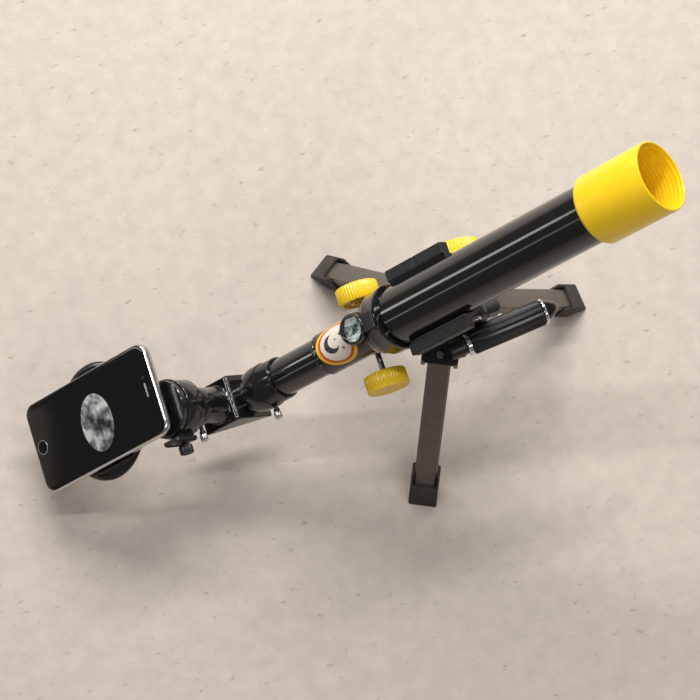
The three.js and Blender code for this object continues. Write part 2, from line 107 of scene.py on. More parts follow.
HANDLE_START = (-8, -28.5, -16.2)
HANDLE_HEADING = 5.5
TILT_WHEEL_R = 21

ALONG_X = Matrix.Rotation(math.radians(90), 4, "Y")
ALONG_Y = Matrix.Rotation(math.radians(-90), 4, "X")
TO_RIGHT = Matrix.Rotation(math.radians(90), 4, "X")
ROLL = Matrix.Rotation(math.radians(90), 4, "Z")
HALF_TURN = Matrix.Rotation(math.radians(45), 4, "Y")
UPRIGHT = Matrix(((1, 0, 0, 0), (0, 0, -1, 0), (0, 1, 0, 0), (0, 0, 0, 1)))
LENGTHWISE = Matrix(((0, 0, 1, 0), (1, 0, 0, 0), (0, 1, 0, 0), (0, 0, 0, 1)))


def joint(name):
    return next(j for j in frame["joints"] if j["name"] == name)


def place(origin, x, y, z):
    """A matrix from local millimetres to the row frame in metres."""
    spot = Matrix.Identity(4)
    for column, axis in enumerate((x, y, z)):
        for row in range(3):
            spot[row][column] = axis[row] * MM
    for row in range(3):
        spot[row][3] = origin[row]
    return spot


def at(x, y, z):
    return Matrix.Translation((x, y, z))


AIM = Vector(joint("diagonal_turn")["axis"]).normalized()
UP = Vector(joint("holder_turn")["axis"]).normalized()
SIDE = UP.cross(AIM)
PIVOT = Vector(joint("tilt")["pos_m"])
TUBE = place(PIVOT + UP * AXIS_ABOVE_PIVOT * MM - AIM * CRADLE_CENTRE * MM, AIM, SIDE, UP)
DIAGONAL = TUBE @ at(DIAGONAL_X, 0, 0)
PHONE = DIAGONAL @ at(-PHONE_BEHIND, PHONE_ASIDE, PHONE_BACK_Z)
LEVEL = place(PIVOT, Vector((1, 0, 0)), Vector((0, 1, 0)), Vector((0, 0, 1)))
HANDLE = LEVEL @ at(*HANDLE_START) @ Matrix.Rotation(math.radians(HANDLE_HEADING), 4, "Z")


# ---------------------------------------------------------------- materials


def add_node(tree, kind, **inputs):
    made = tree.nodes.new(kind)
    for name, value in inputs.items():
        made.inputs[name.replace("_", " ")].default_value = value
    return made


def noise_at(tree, size, detail=4, stretch=(1, 1, 1)):
    """Noise whose grain is about size millimetres, in the piece's own coordinates."""
    where = tree.nodes.new("ShaderNodeTexCoord")
    scale = tree.nodes.new("ShaderNodeMapping")
    scale.inputs["Scale"].default_value = [s / (size * MM) for s in stretch]
    grain = add_node(tree, "ShaderNodeTexNoise", Scale=1.0, Detail=detail, Roughness=0.6)
    tree.links.new(where.outputs["Object"], scale.inputs["Vector"])
    tree.links.new(scale.outputs["Vector"], grain.inputs["Vector"])
    return grain.outputs["Fac"]


def spread(tree, source, low, high):
    """Maps a noise value from its usual middle range to low and high."""
    made = add_node(tree, "ShaderNodeMapRange", From_Min=0.32, From_Max=0.68, To_Min=low, To_Max=high)
    tree.links.new(source, made.inputs["Value"])
    return made.outputs["Result"]


def look(name, colour, rough, metal=0.0, grain=0.05, grain_size=0.5, mottle=0.12, vary=0.05,
         coat=0.0, stretch=(1, 1, 1), dust=0.0):
    """A procedural finish: mottled colour, uneven roughness and a fine bump."""
    made = bpy.data.materials.new(name)
    made.use_nodes = True
    tree = made.node_tree
    shader = tree.nodes["Principled BSDF"]
    shader.inputs["Metallic"].default_value = metal
    shader.inputs["Coat Weight"].default_value = coat
    shader.inputs["Coat Roughness"].default_value = 0.06
    blotches = noise_at(tree, 14, 3)
    ramp = tree.nodes.new("ShaderNodeValToRGB")
    ramp.color_ramp.elements[0].position = 0.3
    ramp.color_ramp.elements[1].position = 0.7
    ramp.color_ramp.elements[0].color = [c * (1 - mottle) for c in colour] + [1]
    ramp.color_ramp.elements[1].color = [min(1, c * (1 + mottle) + dust) for c in colour] + [1]
    tree.links.new(blotches, ramp.inputs["Fac"])
    tree.links.new(ramp.outputs["Color"], shader.inputs["Base Color"])
    wear = noise_at(tree, 5, 5, stretch)
    tree.links.new(spread(tree, wear, rough - vary, rough + vary), shader.inputs["Roughness"])
    fine = noise_at(tree, grain_size, 2, stretch)
    bump = add_node(tree, "ShaderNodeBump", Strength=grain, Distance=0.0002)
    tree.links.new(fine, bump.inputs["Height"])
    tree.links.new(bump.outputs["Normal"], shader.inputs["Normal"])
    return made


def glass_look(name, tint, rough=0.03):
    made = look(name, tint, rough + 0.02, grain=0.01, mottle=0.03, vary=0.01)
    shader = made.node_tree.nodes["Principled BSDF"]
    shader.inputs["Transmission Weight"].default_value = 1.0
    shader.inputs["IOR"].default_value = 1.46
    return made


def moon_look():
    """Grey highlands, darker seas and small craters, lit from within as on a screen."""
    made = bpy.data.materials.new("moon_picture")
    made.use_nodes = True
    tree = made.node_tree
    shader = tree.nodes["Principled BSDF"]
    seas = noise_at(tree, 19, 6)
    ramp = tree.nodes.new("ShaderNodeValToRGB")
    stops = ramp.color_ramp.elements
    stops[0].position = 0.42
    stops[0].color = (0.018, 0.019, 0.02, 1)
    stops[1].position = 0.6
    stops[1].color = (0.5, 0.51, 0.5, 1)
    middle = stops.new(0.5)
    middle.color = (0.13, 0.135, 0.135, 1)
    pits = add_node(tree, "ShaderNodeTexVoronoi", Scale=260.0)
    where = tree.nodes.new("ShaderNodeTexCoord")
    tree.links.new(where.outputs["Object"], pits.inputs["Vector"])
    rims = tree.nodes.new("ShaderNodeMapRange")
    rims.inputs["From Max"].default_value = 0.45
    rims.inputs["To Min"].default_value = 1.25
    rims.inputs["To Max"].default_value = 0.85
    tree.links.new(pits.outputs["Distance"], rims.inputs["Value"])
    shade = tree.nodes.new("ShaderNodeMix")
    shade.data_type = "RGBA"
    shade.blend_type = "MULTIPLY"
    shade.inputs["Factor"].default_value = 1.0
    tree.links.new(seas, ramp.inputs["Fac"])
    tree.links.new(ramp.outputs["Color"], shade.inputs[6])
    tree.links.new(rims.outputs["Result"], shade.inputs[7])
    tree.links.new(shade.outputs[2], shader.inputs["Base Color"])
    tree.links.new(shade.outputs[2], shader.inputs["Emission Color"])
    shader.inputs["Emission Strength"].default_value = 0.3
    shader.inputs["Roughness"].default_value = 0.12
    return made


YELLOW = look("yellow_gloss", (0.93, 0.6, 0.012), 0.3, grain=0.1, grain_size=0.7, mottle=0.03, coat=0.3)
GLOSS = look("gloss_black", (0.007, 0.007, 0.0075), 0.16, grain=0.03, grain_size=3, mottle=0.2, coat=0.4)
TUBE_BLACK = look("tube_lacquer", (0.006, 0.006, 0.0065), 0.12, grain=0.025, grain_size=5, mottle=0.2,
                  coat=0.6, vary=0.03)
SATIN = look("satin_black", (0.011, 0.011, 0.012), 0.42, grain=0.25, grain_size=0.4, mottle=0.25, vary=0.07)
CAST = look("cast_black", (0.012, 0.012, 0.0125), 0.38, grain=0.3, grain_size=0.6, mottle=0.25, vary=0.07)
INNER = look("matt_inside", (0.01, 0.01, 0.01), 0.85, grain=0.3, grain_size=0.4)
LEG_GREY = look("leg_coating", (0.135, 0.115, 0.098), 0.42, metal=0.35, grain=0.22, grain_size=0.35,
                mottle=0.08, vary=0.06)
RUBBER = look("rubber", (0.036, 0.031, 0.026), 0.72, grain=0.5, grain_size=0.5, mottle=0.22, vary=0.08,
              dust=0.006)
CHROME = look("chrome", (0.8, 0.81, 0.83), 0.09, metal=1, grain=0.02, grain_size=2, mottle=0.03, vary=0.03)
STEEL = look("turned_steel", (0.62, 0.62, 0.63), 0.27, metal=1, grain=0.15, grain_size=0.3, mottle=0.06,
             vary=0.06)
SILVER = look("silver_frame", (0.66, 0.665, 0.68), 0.24, metal=1, grain=0.06, grain_size=0.3, mottle=0.03,
              vary=0.04)
CREAM = look("label_cream", (0.78, 0.72, 0.62), 0.42, grain=0.08, grain_size=0.4, mottle=0.04)
RIM_YELLOW = look("label_yellow", (0.9, 0.52, 0.015), 0.4, grain=0.08, grain_size=0.4, mottle=0.04)
RIM_ORANGE = look("label_orange", (0.62, 0.075, 0.02), 0.4, grain=0.08, grain_size=0.4, mottle=0.04)
INK = look("label_ink", (0.03, 0.035, 0.05), 0.4, grain=0.08, grain_size=0.4, mottle=0.1)
DIAL = look("dial_card", (0.66, 0.69, 0.68), 0.25, metal=0.3, grain=0.1, grain_size=0.2, mottle=0.1)
DIAL_GREEN = look("dial_green", (0.02, 0.17, 0.09), 0.4, grain=0.05, mottle=0.1)
DIAL_BLACK = look("dial_ink", (0.012, 0.014, 0.014), 0.4, grain=0.05, mottle=0.1)
NEEDLE = look("needle_dark", (0.03, 0.035, 0.035), 0.35, grain=0.05, mottle=0.06)
WHITE = look("white_paint", (0.75, 0.75, 0.73), 0.35, grain=0.05, mottle=0.06)
SCREEN = look("screen_black", (0.0025, 0.0025, 0.003), 0.055, grain=0.004, grain_size=9, mottle=0.2,
              vary=0.015, coat=0.15)
MIRROR = look("mirror", (0.86, 0.88, 0.89), 0.04, metal=1, grain=0.0, mottle=0.01, vary=0.01)
CLEAR = glass_look("clear_glass", (0.93, 0.97, 0.96))
COATED = glass_look("coated_lens", (0.72, 0.8, 0.95))
MOON = moon_look()


# ---------------------------------------------------------------- mesh helpers


def ring_of(segments, radius, z, verts):
    """Adds a ring of vertices, or one on the axis, and returns their indices."""
    first = len(verts)
    if radius < 1e-6:
        verts.append((0, 0, z))
        return [first]
    for i in range(segments):
        angle = 2 * math.pi * i / segments
        verts.append((radius * math.cos(angle), radius * math.sin(angle), z))
    return list(range(first, first + segments))


def skin(low, high, faces):
    """Joins two rings, either of which may be a single point."""
    count = max(len(low), len(high))
    for i in range(count):
        j = (i + 1) % count
        corners = [low[i % len(low)], low[j % len(low)], high[j % len(high)], high[i % len(high)]]
        faces.append([c for n, c in enumerate(corners) if c not in corners[:n]])


def lathe(profile, segments=96):
    """Turns [radius, height] pairs about Z. A profile closes on itself or on the axis."""
    verts, faces = [], []
    closed = profile[0] == profile[-1]
    rings = [ring_of(segments, r, z, verts) for r, z in (profile[:-1] if closed else profile)]
    if closed:
        rings.append(rings[0])
    for low, high in zip(rings, rings[1:]):
        skin(low, high, faces)
    return verts, faces


def tube(inner, outer, low, high, edge=0.3, segments=96):
    """A ring with small chamfers on its outer rims."""
    profile = [(inner, low), (outer - edge, low), (outer, low + edge), (outer, high - edge),
               (outer - edge, high), (inner, high), (inner, low)]
    return lathe(profile, segments)


def puck(radius, low, high, edge=0.3, segments=64):
    profile = [(0, low), (radius - edge, low), (radius, low + edge), (radius, high - edge),
               (radius - edge, high), (0, high)]
    return lathe(profile, segments)


def fluted(profile, flutes, depth, per_flute=8, sharp=1.0):
    """A turned shape whose radius dips at each flute, by a share given with each profile point."""
    segments = flutes * per_flute
    verts, faces, rings = [], [], []
    for radius, z, share in profile:
        ring = ring_of(segments, radius, z, verts)
        if len(ring) > 1:
            for i, index in enumerate(ring):
                wave = 0.5 - 0.5 * math.cos(2 * math.pi * i / per_flute)
                size = (radius - depth * share * wave ** sharp) / radius
                x, y, height = verts[index]
                verts[index] = (x * size, y * size, height)
        rings.append(ring)
    for low, high in zip(rings, rings[1:]):
        skin(low, high, faces)
    return verts, faces


def prism(outline, low, high):
    """An outline of (x, y) points raised from low to high."""
    count = len(outline)
    verts = [(x, y, low) for x, y in outline] + [(x, y, high) for x, y in outline]
    faces = [list(range(count))[::-1], list(range(count, 2 * count))]
    faces += [[i, (i + 1) % count, count + (i + 1) % count, count + i] for i in range(count)]
    return verts, faces


def block(x0, x1, y0, y1, z0, z1):
    return prism([(x0, y0), (x1, y0), (x1, y1), (x0, y1)], z0, z1)


def rounded(length, width, corner, steps=10):
    """A round-cornered rectangle round the origin."""
    points = []
    for quarter in range(4):
        x = (length / 2 - corner) * (1 if quarter in (0, 3) else -1)
        y = (width / 2 - corner) * (1 if quarter in (0, 1) else -1)
        for i in range(steps + 1):
            angle = math.pi / 2 * (quarter + i / steps)
            points.append((x + corner * math.cos(angle), y + corner * math.sin(angle)))
    return points


def lofted(loops):
    """Skins equal loops of (x, y, z) points and caps both ends."""
    count = len(loops[0])
    verts = [p for loop in loops for p in loop]
    faces = [list(range(count))[::-1], [len(verts) - count + i for i in range(count)]]
    for n in range(len(loops) - 1):
        for i in range(count):
            j = (i + 1) % count
            faces.append([n * count + i, n * count + j, (n + 1) * count + j, (n + 1) * count + i])
    return verts, faces


def combined(*shapes):
    """Several closed shapes in one mesh."""
    verts, faces = [], []
    for more_verts, more_faces in shapes:
        start = len(verts)
        verts += list(more_verts)
        faces += [[i + start for i in face] for face in more_faces]
    return verts, faces


def turned_to(shape, matrix):
    verts, faces = shape
    return [tuple(matrix @ Vector(v)) for v in verts], faces


def smooth(mesh, degrees=32):
    """Smooth shading with sharp edges where faces meet at more than the angle."""
    work = bmesh.new()
    work.from_mesh(mesh)
    bmesh.ops.remove_doubles(work, verts=work.verts, dist=1e-7)
    bmesh.ops.recalc_face_normals(work, faces=work.faces)
    for face in work.faces:
        face.smooth = True
    for edge in work.edges:
        if len(edge.link_faces) == 2:
            edge.smooth = edge.calc_face_angle(0) < math.radians(degrees)
    work.to_mesh(mesh)
    work.free()


def bevelled(obj, width, degrees=32, segments=3):
    made = obj.modifiers.new("edges", "BEVEL")
    made.width = width * MM
    made.segments = segments
    made.limit_method = "ANGLE"
    made.angle_limit = math.radians(degrees)
    made.harden_normals = True


def piece(name, shape, where, finish, body, nodes=(), bevel=0.0, angle=32):
    """A shown piece: its mesh in the row frame, riding on a body, with its material slot."""
    verts, faces = shape
    mesh = bpy.data.meshes.new(name)
    mesh.from_pydata(verts, [], faces)
    mesh.transform(where)
    smooth(mesh, angle)
    obj = bpy.data.objects.new(name, mesh)
    bpy.context.scene.collection.objects.link(obj)
    for one in finish if isinstance(finish, (list, tuple)) else [finish]:
        mesh.materials.append(one)
    if bevel:
        bevelled(obj, bevel)
    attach(obj, body)
    if nodes:
        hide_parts(*nodes)
    return obj


def keep(node, finish, bevel=0.25, angle=32):
    """A CAD node that stays: welded, smoothed and given its finish."""
    obj = frame["nodes"][node]
    obj.data.materials.clear()
    obj.data.materials.append(finish)
    for polygon in obj.data.polygons:
        polygon.use_smooth = True
        polygon.material_index = 0
    weld = obj.modifiers.new("weld", "WELD")
    weld.merge_threshold = 1e-6
    if bevel:
        rounds = obj.modifiers.new("edges", "BEVEL")
        rounds.width = bevel * MM
        rounds.segments = 2
        rounds.limit_method = "ANGLE"
        rounds.angle_limit = math.radians(angle)
    split = obj.modifiers.new("creases", "EDGE_SPLIT")
    split.split_angle = math.radians(angle)
    return obj


# ---------------------------------------------------------------- tube and front


def make_tube():
    piece("main_tube_skin", tube(TUBE_BORE, TUBE_R, -14, TUBE_FRONT, 0.2, 160), TUBE @ ALONG_X,
          TUBE_BLACK, "telescope", ["main_tube"])
    outer = [
        (SHIELD_BORE, SHIELD_BACK),
        (SHIELD_R - 1.4, SHIELD_BACK),
        (SHIELD_R - 0.9, SHIELD_BACK + 0.4),
        (SHIELD_R - 0.5, SHIELD_BACK + 1.2),
        (SHIELD_R, SHIELD_BACK + 2),
        (SHIELD_R, SHIELD_FRONT - 1),
        (SHIELD_R - 0.3, SHIELD_FRONT - 0.3),
        (SHIELD_R - 0.8, SHIELD_FRONT),
        (SHIELD_R - 1.3, SHIELD_FRONT),
        (SHIELD_R - 1.7, SHIELD_FRONT - 0.4),
        (SHIELD_R - 1.8, SHIELD_FRONT - 3),
    ]
    inner = []
    for step in range(12):
        z = SHIELD_FRONT - 3 - step * 2.9
        inner += [(SHIELD_R - 2.6, z), (SHIELD_R - 2.6, z - 1.9), (SHIELD_R - 2.25, z - 2.1),
                  (SHIELD_R - 2.25, z - 2.7)]
    back = [(SHIELD_BORE + 0.8, SHIELD_BACK + 12), (SHIELD_BORE, SHIELD_BACK + 12)]
    back.append((SHIELD_BORE, SHIELD_BACK))
    piece("dew_shield_shell", lathe(outer + inner + back, 160), TUBE @ ALONG_X, YELLOW, "telescope",
          ["dew_shield"])
    for node in ("lens_cell", "lens_ring"):
        keep(node, INNER)
    bulge = 1.7
    steps = 9
    lens = [(0, LENS_BACK)]
    for i in range(1, steps + 1):
        lens.append((LENS_R * i / steps, LENS_BACK + bulge * (i / steps) ** 2))
    for i in range(steps, -1, -1):
        lens.append((LENS_R * i / steps, LENS_BACK + 6.4 - bulge * (i / steps) ** 2))
    piece("objective_glass", lathe(lens, 96), TUBE @ ALONG_X, COATED, "telescope",
          ["objective_lens"])


def make_cradle():
    front = CRADLE_CENTRE + CRADLE_HALF
    back = CRADLE_CENTRE - CRADLE_HALF
    inner, outer = [], []
    for i in range(65):
        angle = math.radians(-188 + 196 * i / 64)
        inner.append(((TUBE_R + 0.3) * math.cos(angle), (TUBE_R + 0.3) * math.sin(angle)))
        outer.append((CRADLE_R * math.cos(angle), CRADLE_R * math.sin(angle)))
    shell = prism(inner + outer[::-1], back, front)
    piece("cradle_shell", shell, TUBE @ LENGTHWISE, SATIN, "telescope", ["cradle"],
          bevel=0.5)
    for side in (-1, 1):
        word = "left" if side > 0 else "right"
        near, far = sorted((side * 23.2, side * 31.5))
        halves = [(back, CRADLE_CENTRE - 0.25), (CRADLE_CENTRE + 0.25, front)]
        for number, (x0, x1) in enumerate(halves, 1):
            piece(f"cradle_rail_{word}_{number}", block(x0, x1, near, far, -3.5, 5), TUBE, SATIN,
                  "telescope", bevel=0.7)
        core = sorted((side * 22.6, side * 30.8))
        piece(f"cradle_rail_core_{word}", block(back + 2, front - 2, core[0], core[1], -2.8, 4.4), TUBE,
              SATIN, "telescope")
    lug = [(-LUG_R, 1 - CRADLE_R), (LUG_R, 1 - CRADLE_R)]
    for i in range(25):
        angle = -math.pi * i / 24
        lug.append((LUG_R * math.cos(angle), LUG_R * math.sin(angle) - AXIS_ABOVE_PIVOT))
    piece("cradle_lug", prism(lug, -9, 9), TUBE @ at(CRADLE_CENTRE, 0, 0) @ UPRIGHT, CAST, "telescope",
          bevel=0.6)
    piece("cradle_pad", block(CRADLE_CENTRE - 17, CRADLE_CENTRE + 17, -13, 13, -26, -22.2), TUBE, CAST,
          "telescope", bevel=1.0)


def make_collar():
    profile = [
        (FOCUSER_R + 0.3, -22),
        (17.2, -22),
        (17.9, -21.7),
        (20.8, -17),
        (22.6, -12.4),
        (23.2, -11.2),
        (23.5, -10),
        (23.4, -1.8),
        (COLLAR_R - 0.3, -1.4),
        (COLLAR_R, -0.9),
        (COLLAR_R, COLLAR_FRONT - 0.8),
        (COLLAR_R - 0.2, COLLAR_FRONT - 0.2),
        (COLLAR_R - 0.7, COLLAR_FRONT),
        (TUBE_R + 0.3, COLLAR_FRONT),
        (TUBE_R + 0.3, -14.3),
        (FOCUSER_R + 0.3, -14.3),
        (FOCUSER_R + 0.3, -22),
    ]
    piece("collar_shell", lathe(profile, 128), TUBE @ ALONG_X, GLOSS, "telescope",
          ["rear_collar"], angle=40)
    piece("compass_bracket", block(-11, -0.5, -6.5, 6.5, 18, 25.2), TUBE, SATIN, "telescope",
          bevel=0.8)
    piece("compass_seat", tube(3, 11.8, 18, 20.6, 0.5), TUBE @ at(COMPASS_X, 0, 0), SATIN, "telescope")
    piece("bracket_neck", block(-29, -12, -5, 5, 16.5, 18.6), TUBE, SATIN, "telescope",
          bevel=0.6)


def make_compass():
    where = TUBE @ at(COMPASS_X, 0, 20.8)
    cup = [(0, 0), (10.2, 0), (10.8, 0.5), (10.9, 1.2), (10.9, 4.7), (10.6, 5.3), (10.2, 5.6), (9.4, 5.6),
           (9.2, 5.3), (9.1, 2), (8.9, 1.2), (0, 1.2)]
    piece("compass_cup", lathe(cup, 96), where, GLOSS, "telescope", ["compass_case"],
          angle=45)
    piece("compass_card", tube(1, 8.8, 1.4, 1.9, 0.1), where, DIAL, "telescope", ["compass_dial"])
    marks = []
    for i in range(24):
        long_mark = i % 6 == 0
        inner = 5.6 if long_mark else 7.2
        half = 0.42 if long_mark else 0.17
        mark = block(inner, 8.5, -half, half, 1.88, 2.02)
        marks.append(turned_to(mark, Matrix.Rotation(2 * math.pi * i / 24, 4, "Z")))
    piece("compass_marks", combined(*marks), where, DIAL_BLACK, "telescope")
    wedges = []
    for i in range(8):
        turn = math.pi / 8 + i * math.pi / 4
        tip = 5.4 if i % 2 else 4.2
        wedge = prism([(2, -0.8), (tip, 0), (2, 0.8)], 1.88, 2.0)
        wedges.append(turned_to(wedge, Matrix.Rotation(turn, 4, "Z")))
    wedges.append(tube(6.3, 6.8, 1.88, 1.98, 0.02))
    piece("compass_rose", combined(*wedges), where, DIAL_GREEN, "telescope")
    pin = [(0, 1.4), (0.9, 1.4), (0.9, 3.3), (1.5, 3.4), (1.3, 3.8), (0.6, 4.1), (0, 4.15)]
    piece("compass_post", lathe(pin, 32), where, CHROME, "telescope", ["compass_pin"])
    swing = where @ Matrix.Rotation(math.radians(35), 4, "Z")
    tail = prism([(-6.6, 0), (-1.5, -1), (-1.5, 1)], 2.5, 3.0)
    tip = prism([(6.6, 0), (1.5, 1), (1.5, -1)], 2.5, 3.0)
    piece("needle_tip", tip, swing, NEEDLE, "needle", ["compass_needle"])
    piece("needle_tail", tail, swing, WHITE, "needle")
    piece("needle_eye", tube(1.0, 1.9, 2.4, 3.1, 0.1, 32), swing, STEEL, "needle")
    dome = [(0, 4.2), (8.9, 4.2)]
    for i in range(8, -1, -1):
        dome.append((8.9 * i / 8, 5.4 - 0.6 * (i / 8) ** 2))
    piece("compass_glass", lathe(dome, 64), where, CLEAR, "telescope", ["compass_crystal"])


# ---------------------------------------------------------------- focuser and label


def make_focuser():
    sleeve = [
        (DRAW_R + 0.3, FOCUSER_BACK),
        (FOCUSER_R - 0.5, FOCUSER_BACK),
        (FOCUSER_R - 0.1, FOCUSER_BACK + 0.2),
        (FOCUSER_R, FOCUSER_BACK + 0.6),
        (FOCUSER_R, FOCUSER_BACK + 2.4),
        (FOCUSER_R - 0.25, FOCUSER_BACK + 2.6),
        (FOCUSER_R - 0.25, FOCUSER_BACK + 3.2),
        (FOCUSER_R, FOCUSER_BACK + 3.4),
        (FOCUSER_R, -14.8),
        (DRAW_R + 0.3, -14.8),
        (DRAW_R + 0.3, FOCUSER_BACK),
    ]
    piece("focuser_sleeve", lathe(sleeve, 128), TUBE @ ALONG_X, GLOSS, "telescope",
          ["focuser_body"], angle=40)
    for side in (-1, 1):
        cheek = sorted((side * 6.5, side * 10))
        word = "left" if side > 0 else "right"
        outline = [(-8, 4), (8, 4)]
        for i in range(17):
            angle = -math.pi * i / 16
            outline.append((8 * math.cos(angle), 0.6 + 6.8 * math.sin(angle)))
        shape = prism(outline, -cheek[1], -cheek[0])
        piece(f"pinion_cheek_{word}", shape, TUBE @ at(SHAFT_X, 0, -SHAFT_DROP) @ UPRIGHT, GLOSS,
              "telescope", bevel=0.6)
        bush = tube(2.5, 4.2, 9.8, 12, 0.3, 48)
        turn = ALONG_Y if side > 0 else TO_RIGHT
        piece(f"shaft_bush_{word}", bush, TUBE @ at(SHAFT_X, 0, -SHAFT_DROP) @ turn, STEEL, "telescope")
    floor = block(SHAFT_X - 7.4, SHAFT_X + 7.4, -7, 7, -SHAFT_DROP - 6.2, -SHAFT_DROP - 4.8)
    piece("pinion_cover", floor, TUBE, GLOSS, "telescope", bevel=0.5)


def label_part(x, y, radius):
    """Which of the label's inks covers a point: 0 cream, 1 orange, 2 yellow, 3 dark."""
    away = math.hypot(x, y) / radius
    if away > 0.87:
        return 2
    if away > 0.75:
        return 1
    moon = math.hypot(x + 0.18 * radius, y - 0.02 * radius) < 0.38 * radius
    bite = math.hypot(x + 0.02 * radius, y - 0.1 * radius) < 0.31 * radius
    if moon and not bite:
        return 3
    for cx, cy, size in ((0.34, 0.26, 0.15), (0.3, -0.32, 0.1), (0.04, 0.12, 0.07)):
        dx, dy = abs(x / radius - cx), abs(y / radius - cy)
        if dx ** 0.6 + dy ** 0.6 < size ** 0.6:
            return 3
    return 0


def make_label():
    """A round sticker wrapped over the sleeve, in fine cells inked by place."""
    radius = 18.7
    lift = FOCUSER_R + 0.42
    rings, spokes = 90, 220
    verts = [(0, 0, lift)]
    inks = []
    faces = []
    for ring in range(1, rings + 1):
        for spoke in range(spokes):
            angle = 2 * math.pi * spoke / spokes
            across = radius * ring / rings
            bend = across * math.sin(angle) / lift
            verts.append((across * math.cos(angle), lift * math.sin(bend), lift * math.cos(bend)))
    for ring in range(rings):
        for spoke in range(spokes):
            after = (spoke + 1) % spokes
            outer = [1 + ring * spokes + spoke, 1 + ring * spokes + after]
            if ring == 0:
                faces.append([0] + outer)
            else:
                inner = [n - spokes for n in outer]
                faces.append([inner[0], outer[0], outer[1], inner[1]])
            angle = 2 * math.pi * (spoke + 0.5) / spokes
            across = radius * (ring + 0.5) / rings
            inks.append(label_part(across * math.cos(angle), across * math.sin(angle), radius))
    sticker = piece("round_sticker", (verts, faces), TUBE @ at(LABEL_X, 0, 0),
                    [CREAM, RIM_ORANGE, RIM_YELLOW, INK], "telescope", ["round_label"], angle=80)
    for polygon, ink in zip(sticker.data.polygons, inks):
        polygon.material_index = ink
    backing = sticker.modifiers.new("thickness", "SOLIDIFY")
    backing.thickness = 0.3 * MM
    backing.offset = -1


def make_drawtube():
    piece("drawtube_skin", tube(12.3, DRAW_R, -126, -2, 0.3, 128), TUBE @ ALONG_X, TUBE_BLACK, "draw",
          ["drawtube"])
    teeth = []
    for i in range(54):
        x = RACK_START + i * RACK_PITCH
        teeth.append(block(x, x + 1.1, -2.2, 2.2, -DRAW_R - 0.35, -DRAW_R + 0.3))
    piece("focus_rack", combined(*teeth), TUBE, SATIN, "draw")
    ring = [
        (DRAW_R + 0.1, RING_FRONT),
        (DRAW_R + 0.1, -126.4),
        (10.2, -126.4),
        (10.2, RING_BACK),
        (15, RING_BACK),
        (15.6, RING_BACK + 0.3),
        (16.2, -144),
        (16.9, -141),
        (17, -140.4),
        (17, -130.6),
        (16.8, -130.2),
        (16.3, -130),
        (16.1, -129.6),
        (16, -116.8),
        (15.8, RING_FRONT - 0.4),
        (15.2, RING_FRONT),
        (DRAW_R + 0.1, RING_FRONT),
    ]
    piece("drawtube_collar", lathe(ring[::-1], 128), TUBE @ ALONG_X, GLOSS, "draw",
          ["drawtube_ring"], angle=40)


def wheel(radius, low, high, flutes, depth):
    """A ribbed wheel: dished inner face, rounded rims and a shallow ringed outer face."""
    profile = [
        (2.45, low + 4, 0),
        (5.4, low + 4, 0),
        (5.4, low + 0.4, 0),
        (6.0, low, 0),
        (7.2, low, 0),
        (7.6, low + 2.4, 0),
        (radius - 3.4, low + 2.4, 0),
        (radius - 2.6, low + 0.2, 0),
        (radius - 0.7, low, 0.4),
        (radius, low + 0.8, 1),
        (radius, high - 0.8, 1),
        (radius - 0.7, high, 0.4),
        (radius - 2.4, high, 0),
        (radius - 2.9, high - 0.5, 0),
        (radius - 4.6, high - 0.5, 0),
        (radius - 5.1, high - 0.1, 0),
        (2.45, high - 0.1, 0),
        (2.45, low + 4, 0),
    ]
    return fluted(profile, flutes, depth)


def make_focus_wheels():
    where = TUBE @ at(SHAFT_X, 0, -SHAFT_DROP)
    reach = KNOB_OFFSET + KNOB_WIDTH / 2 - 0.6
    rod = puck(2.3, -reach, reach, 0.4, 48)
    piece("focus_rod", rod, where @ ALONG_Y, CHROME, "focuser", ["focus_shaft"])
    gear = [(0, -5.5, 0), (3.7, -5.5, 1), (3.7, 5.5, 1), (0, 5.5, 0)]
    piece("pinion", fluted(gear, 12, 0.7), where @ ALONG_Y, STEEL, "focuser")
    low = KNOB_OFFSET - KNOB_WIDTH / 2
    high = KNOB_OFFSET + KNOB_WIDTH / 2
    for word, turn in (("left", ALONG_Y), ("right", TO_RIGHT)):
        piece(f"focus_wheel_{word}", wheel(KNOB_R, low, high, 44, 0.55), where @ turn, YELLOW, "focuser",
              [f"focus_knob_{word}"], angle=50)
        cap = puck(2.4, high - 0.6, high + 0.05, 0.3, 32)
        piece(f"focus_wheel_cap_{word}", cap, where @ turn, CHROME, "focuser")


def thumbscrew(name, where, tip, low, body, node):
    """A black stem with a neck, and a bright knurled head above low."""
    stem = [(0, tip), (1.2, tip), (1.5, tip + 0.4), (1.5, low - 3), (2.1, low - 2.8), (2.3, low - 2.2),
            (2.3, low - 0.6), (1.9, low - 0.3), (0, low - 0.3)]
    head = [(0, low - 0.3, 0), (2.5, low - 0.3, 0), (2.9, low + 0.3, 1), (2.9, low + 4.4, 1),
            (2.5, low + 4.9, 0.4), (2.1, low + 5, 0), (1.8, low + 4.8, 0), (0, low + 4.8, 0)]
    piece(name, fluted(head, 18, 0.22), where @ TO_RIGHT, STEEL, body, [node], angle=45)
    piece(f"{name}_stem", lathe(stem, 48), where @ TO_RIGHT, SATIN, body)


# ---------------------------------------------------------------- diagonal, eyepiece, holder


